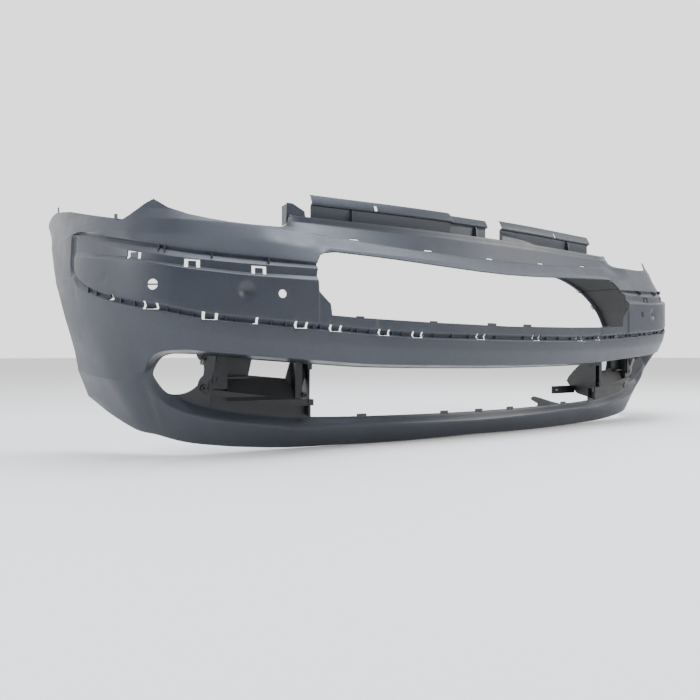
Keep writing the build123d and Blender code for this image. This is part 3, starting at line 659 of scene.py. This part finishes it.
outer, holes = cover_outlines()
flat, faces = triangulate(outer, holes, cover_grid())
points = surface(flat[:, 0], flat[:, 1])
sample = faces[len(faces) // 2]
a, b, c = points[sample]
outward = np.append(plan(flat[sample[:1], 0])[1][0][[1, 0]] * (1, -1), 0)
if np.dot(np.cross(b - a, c - a), outward) < 0:
    faces = faces[:, ::-1]
shell_points, shell_faces = thicken(points, faces, WALL)
cover = make_object("cover_shell", shell_points, shell_faces, "cover", 32)
mark_bare_side_and_painted_shade(cover, flat[:, 0], flat[:, 1])
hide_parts("bumper_skin")


# turned-in flange of each wheel arch
arch = Pieces()
cy, cz, r = ARCH
for sign in (-1, 1):
    rows = []
    for angle in np.radians(np.linspace(112.4, 183.4, 60)):
        y, z = cy + r * math.cos(angle), cz + r * math.sin(angle)
        s, w = on_face(y, z, 1)
        inset = float(profile(s, w)[1])
        section = []
        for d, out in ((1.0, 0), (ARCH_FLANGE, 0), (ARCH_FLANGE, WALL), (1.0, WALL)):
            point = place(np.array([s]), inset + d, z)[0]
            section.append((sign * point[0], y + out * math.cos(angle), z + out * math.sin(angle)))
        rows.append(section)
    arch.loft(rows if sign > 0 else [row[::-1] for row in rows])
arch_flange = arch.build("arch_flanges", "cover")
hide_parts("bumper_skin")

# small ribs in the groove under the panel, tabs on the strip, the lip and the wing edges
trim = Pieces()
for s in (44, 120, 165, 212, 288, 310, 362, 388, 402, 465, 480, 533, 560, 622, 640, 695, 720, 738, 795,
          822, 880, 905):
    foot_z, top_z = float(pchip(EDGES["recess_foot"][0], s)), float(pchip(EDGES["panel_foot"][0], s))
    floor = float(pchip(EDGES["ledge"][1], s))
    for sign in (-1, 1):
        trim.block((sign * s - 0.8, sign * s + 0.8), (floor - 5, floor + 1), (foot_z + 0.5, top_z + 1))
for x, width, height in ((-381, 16, 3), (381, 16, 3), (-212, 18, 3), (-55, 24, 5), (55, 24, 5)):
    z = float(np.interp(abs(x), *zip(*[(0, -206), (212, -203), (381, -198)])))
    trim.block((x - width / 2, x + width / 2), (5.6, 8), (z - 2, z + height), 2)
for x in (-325, -107, 0, 107, 325):
    z = float(pchip(EDGES["lip_rear"][0], abs(x)))
    trim.block((x - 11, x + 11), (101.5, 104), (z - 3, z + 6), 2)
for s in (746, 757, 662, 560, 905):
    z = float(pchip(EDGES["groove"][0], s))
    for sign in (-1, 1):
        trim.block((sign * s - 1, sign * s + 1), (13, 24), (z - 7, z + 2))
for y, z, tall in ((309, 17, 13), (62, -33, 12)):
    s, w = on_face(y, z, 1)
    inset = float(profile(s, w)[1])
    for sign in (-1, 1):
        trim.block((sign * s - 4, sign * s + 4), (inset + 0.4, inset + 2.2), (z, z + tall))
tabs = trim.build("cover_ribs_and_tabs", "cover")
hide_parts("bumper_skin")

# end wall of the shelf, on the car's right
wedge = Pieces()
wedge.plate([(-487, -16), (-486, 24), (-474, 24), (-449, 11), (-447, -1), (-470, -4)], 90, 2.4)
wedge.block((-494, -491.5), (90, 124), (-14, 24))
wedge.block((-494, -480), (121.5, 124), (-6, 24))
wedge_wall = wedge.build("shelf_end_wall", "cover")
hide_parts("bumper_skin")


# ------------------------------------------------------------------ deflectors
def deflector(name, start, end, step_at, window, ribs, scoop):
    """Channel-shaped panel on the shelf: web, forward top bead, ribs and a square hole."""
    panel = Pieces()
    section = [(106, 0.2), (106, 24), (104.5, 26.8), (99.5, 28.6), (98, 31), (99, 34.5), (107, 49.2),
               (110.3, 49.6), (110.3, 47.6), (108, 46.6), (101.3, 33.6), (101.2, 31.6), (105.5, 29.8),
               (108.2, 26.5), (108.2, 0.2)]
    below = [(106, 0.2), (106, 24), (104.5, 26.8), (99.5, 28.6), (100, 30.5), (105.5, 29.8), (108.2, 26.5),
             (108.2, 0.2)]
    above = [(102.8, 41.5), (107, 49.2), (110.3, 49.6), (110.3, 47.6), (108, 46.6), (105.2, 41.5)]

    def stretch(first, last, outline):
        """Part of the channel between two distances; it is lower beyond the step."""
        places = np.unique(np.concatenate([np.linspace(first, last, max(2, int((last - first) / 9))),
                                           [step_at - 4, step_at + 4]]))
        rows = []
        for s in places[(places >= first) & (places <= last)]:
            drop = np.clip((s - step_at) / 8 + 0.5, 0, 1) * 5.5
            d, z = np.array(outline).T
            rows.append(place(s, d, z - drop * np.clip((z - 20) / 20, 0, 1)))
        panel.loft(rows)

    stretch(start, window - 4, section)
    stretch(window - 4, window + 4, below)
    stretch(window - 4, window + 4, above)
    stretch(window + 4, end, section)
    for s in ribs:
        for side in (-0.9, 0.9):
            panel.add(place(s + side, np.array([97.0, 106.3, 106.3, 101.0]),
                            np.array([0.3, 0.3, 27.0, 27.0])),
                      [(0, 1, 2, 3)] if side < 0 else [(3, 2, 1, 0)])
        base = sum(len(p) for p in panel.points) - 8
        panel.faces += [(base, base + 4, base + 7, base + 3), (base + 3, base + 7, base + 6, base + 2)]
    panel.block((start, end), (106.5, 120), (0.1, 2.4), 24)
    if scoop:
        rows = []
        for t in np.linspace(0, 1, 14):
            s, top = 75 + 136 * t, 21 * (1 - t**2.2) + 0.8
            rows.append(place(s, np.array([97, 98, 105.8, 105.8]), np.array([0.2, top * 0.55, top, 0.2])))
        panel.loft(rows)
    made = panel.build(name, "cover", 30)
    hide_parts(name.rsplit("_", 1)[0])
    return made


deflector("deflector_right_panel", -438, 26, -86, -292, (-348, -10), False)
deflector("deflector_left_panel", 76, 444, 900, 286, (346,), True)

pins = Pieces()
for s in (-420, -250, -90, 420, 330, 230):
    x, y, z = place(s, 114.0, 2.4)
    pins.tube((x, y, z), (0, 0, 1), 5.0, 2.2, 24)
    pins.tube((x, y, z + 2.2), (0, 0, 1), 3.2, 0.8, 20)
    pins.tube((x, y, z - 15), (0, 0, 1), 2.9, 15, 16)
pin_heads = pins.build("deflector_clip_pins", "clip")
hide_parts("deflector_clips")


# ------------------------------------------------------------------ lamp carriers, ducts, rails
def mirrored(outline, sign):
    """Outline on one side of the car."""
    return [(sign * x, z) for x, z in outline]


def lamp_outline():
    """Lamp hole with the flat and notches of its carrier."""
    x0, z0, r0 = LAMP
    hole = []
    for t in np.linspace(0, 2 * math.pi, 40, endpoint=False):
        reach = r0 + (3.5 if 0.3 < t < 1.5 else 0) - (3.0 if 3.4 < t < 3.75 or 2.3 < t < 2.6 else 0)
        hole.append((x0 + reach * math.cos(t), z0 + reach * math.sin(t)))
    return hole


CARRIER = [(628, -262), (700, -258), (728, -262), (736, -272), (740, -299), (736, -328), (722, -345),
           (700, -356), (628, -366)]
DUCT = [(634, -258), (560, -261), (470, -267), (437, -270), (437, -292), (448, -330), (455, -354),
        (480, -366), (634, -360)]
WINDOW = [(550, -277), (526, -277), (523, -269), (471, -273), (483, -313), (556, -306)]
# Ribs and posts of a duct: distances out, heights and insets.
DUCT_RIBS = [((600, 632), (-330, -258), (84, 101)), ((606, 626), (-320, -268), (80, 84)),
             ((546, 600), (-264, -258), (88, 101)), ((462, 560), (-268, -262), (90, 101)),
             ((560, 600), (-312, -308), (90, 101)), ((456, 470), (-352, -270), (84, 101)),
             ((437, 446), (-296, -262), (80, 101)), ((437, 470), (-268, -262), (82, 101))]
# Walls of a rail: heights and insets.
RAIL_WALLS = [((-357, -354), (88, 104)), ((-392, -357), (101.5, 104)), ((-366, -357), (88, 90.4))]
RAIL_SLOPE = 0.13
SIDE_WALL_X = 441
SIDE_WALL = [(-16, -288), (30, -291), (48, -306), (70, -327), (77, -339), (70, -350), (41, -374),
             (4, -382), (-14, -388)]

for sign, hand in ((-1, "right"), (1, "left")):
    carrier = Pieces()
    carrier.plate(mirrored(CARRIER, sign), 102, SHEET, [mirrored(lamp_outline(), sign)], lean=-0.34, step=8)
    x0, z0, r0 = LAMP
    for angle, reach in ((40, 50), (150, 49), (215, 51), (320, 52)):
        t = math.radians(angle)
        x, z = sign * (x0 + reach * math.cos(t)), z0 + reach * math.sin(t)
        s = float(s_at(x, 80))
        centre = place(s, 102 - 0.34 * (z + 366) - 5, z)
        carrier.tube(centre, (0, 1, 0), 5.5, 10, 18, 2.2)
    made = carrier.build("lamp_carrier_%s_bowl" % hand, "bracket")
    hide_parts("lamp_carrier_" + hand)

    duct = Pieces()
    duct.plate(mirrored(DUCT, sign), 101, SHEET, [mirrored(WINDOW, sign)], step=10)
    for x_range, z_range, d_range in DUCT_RIBS:
        s_range = [float(s_at(sign * x, 95)) for x in x_range]
        duct.block(sorted(s_range), d_range, z_range, 4)
    duct.plate(mirrored([(600, -310), (484, -314), (460, -352), (600, -352)], sign), 86, SHEET, lean=0.32)
    wall_x = sign * SIDE_WALL_X
    outline = dense(SIDE_WALL + SIDE_WALL[:1], 12)[:-1]
    near = [(wall_x - 1.2, y, z) for y, z in outline]
    far = [(wall_x + 1.2, y, z) for y, z in outline]
    duct.loft([near, far] if sign > 0 else [far, near])
    if sign > 0:
        duct.loft([[(x, 52, -372), (x, 54.5, -372), (x, 54.5, -352), (x, 52, -352)]
                   for x in (349, SIDE_WALL_X)])
    for x, z in ((616, -276), (616, -314), (452, -345)):
        s = float(s_at(sign * x, 90))
        duct.tube(place(s, 79, z), (0, 1, 0), 5.0, 8, 18, 1.8)
    made = duct.build("air_duct_%s_box" % hand, "bracket")
    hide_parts("air_duct_" + hand)

    rail = Pieces()
    for z_range, d_range in RAIL_WALLS:
        s_range = sorted(float(s_at(sign * x, 95)) for x in (430, 640))
        rows = []
        for s in np.linspace(s_range[0], s_range[1], 14):
            lift = RAIL_SLOPE * max(abs(s) - 470, 0)
            d = np.array([d_range[0], d_range[1], d_range[1], d_range[0]])
            z = np.array([z_range[0], z_range[0], z_range[1], z_range[1]])
            rows.append(place(s, d, z + lift))
        rail.loft(rows)
    made = rail.build("duct_rail_%s_channel" % hand, "bracket")
    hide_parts("duct_rail_" + hand)

hook = Pieces()
hook.plate([(185, -372), (196, -370), (221, -375), (262, -385), (300, -392), (300, -398), (205, -398),
            (212, -390), (221, -394), (200, -384), (186, -378)], 103.5, SHEET, step=8)
hook_piece = hook.build("hook_bracket_arm", "bracket")
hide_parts("hook_bracket")

for name in ("arch_spring_nuts", "bracket_screws"):
    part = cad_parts[name]
    part.data.materials.clear()
    part.data.materials.append(MATERIALS["steel"])


# ------------------------------------------------------------------ floor, light and camera
floor_mesh = bpy.data.meshes.new("floor")
floor_z = FLOOR_Z * MM
floor_mesh.from_pydata([(-40, -40, floor_z), (40, -40, floor_z), (40, 40, floor_z), (-40, 40, floor_z)], [],
                       [(0, 1, 2, 3)])
floor = bpy.data.objects.new("floor", floor_mesh)
bpy.context.collection.objects.link(floor)
white = bpy.data.materials.new("floor_white")
white.use_nodes = True
floor_shader = white.node_tree.nodes["Principled BSDF"]
floor_shader.inputs["Base Color"].default_value = (0.95, 0.95, 0.95, 1)
floor_shader.inputs["Roughness"].default_value = 0.9
floor.data.materials.append(white)

world = bpy.data.worlds.new("studio")
bpy.context.scene.world = world
world.use_nodes = True
backdrop = world.node_tree.nodes["Background"]
backdrop.inputs["Color"].default_value = (1, 1, 1, 1)
direction = node(world.node_tree, "ShaderNodeSeparateXYZ")
# a bright backdrop behind the cover and a dimmer room in front of it
brightness = node(world.node_tree, "ShaderNodeMapRange", From_Min=-0.35, From_Max=0.30,
                  To_Min=0.26, To_Max=1.9)
world.node_tree.links.new(node(world.node_tree, "ShaderNodeTexCoord").outputs["Generated"],
                          direction.inputs["Vector"])
world.node_tree.links.new(direction.outputs["Y"], brightness.inputs["Value"])
world.node_tree.links.new(brightness.outputs["Result"], backdrop.inputs["Strength"])


def soft_light(name, position, target, size, power, colour):
    """Area light aimed at a point."""
    lamp = bpy.data.lights.new(name, "AREA")
    lamp.shape = "RECTANGLE"
    lamp.size, lamp.size_y = size
    lamp.energy = power
    lamp.color = colour
    made = bpy.data.objects.new(name, lamp)
    made.location = position
    made.rotation_euler = (Vector(target) - Vector(position)).to_track_quat("-Z", "Y").to_euler()
    bpy.context.collection.objects.link(made)


soft_light("key_right", (2.6, -1.9, 1.4), (0.3, 0, -0.2), (1.4, 1.4), 85, (1.0, 0.98, 0.95))
soft_light("top_blue", (0.1, -0.3, 2.4), (0, 0, -0.1), (2.6, 1.2), 95, (0.80, 0.88, 1.0))
soft_light("left_edge", (-2.4, -0.2, 0.6), (-0.8, 0, -0.2), (1.0, 1.2), 18, (0.95, 0.97, 1.0))

camera_data = bpy.data.cameras.new("camera")
camera = bpy.data.objects.new("camera", camera_data)
bpy.context.collection.objects.link(camera)
camera_data.lens = CAMERA_LENS
camera.location = CAMERA_PLACE
camera.rotation_euler = (math.radians(90 + CAMERA_PITCH), 0, math.radians(-CAMERA_TURN))
bpy.context.scene.camera = camera
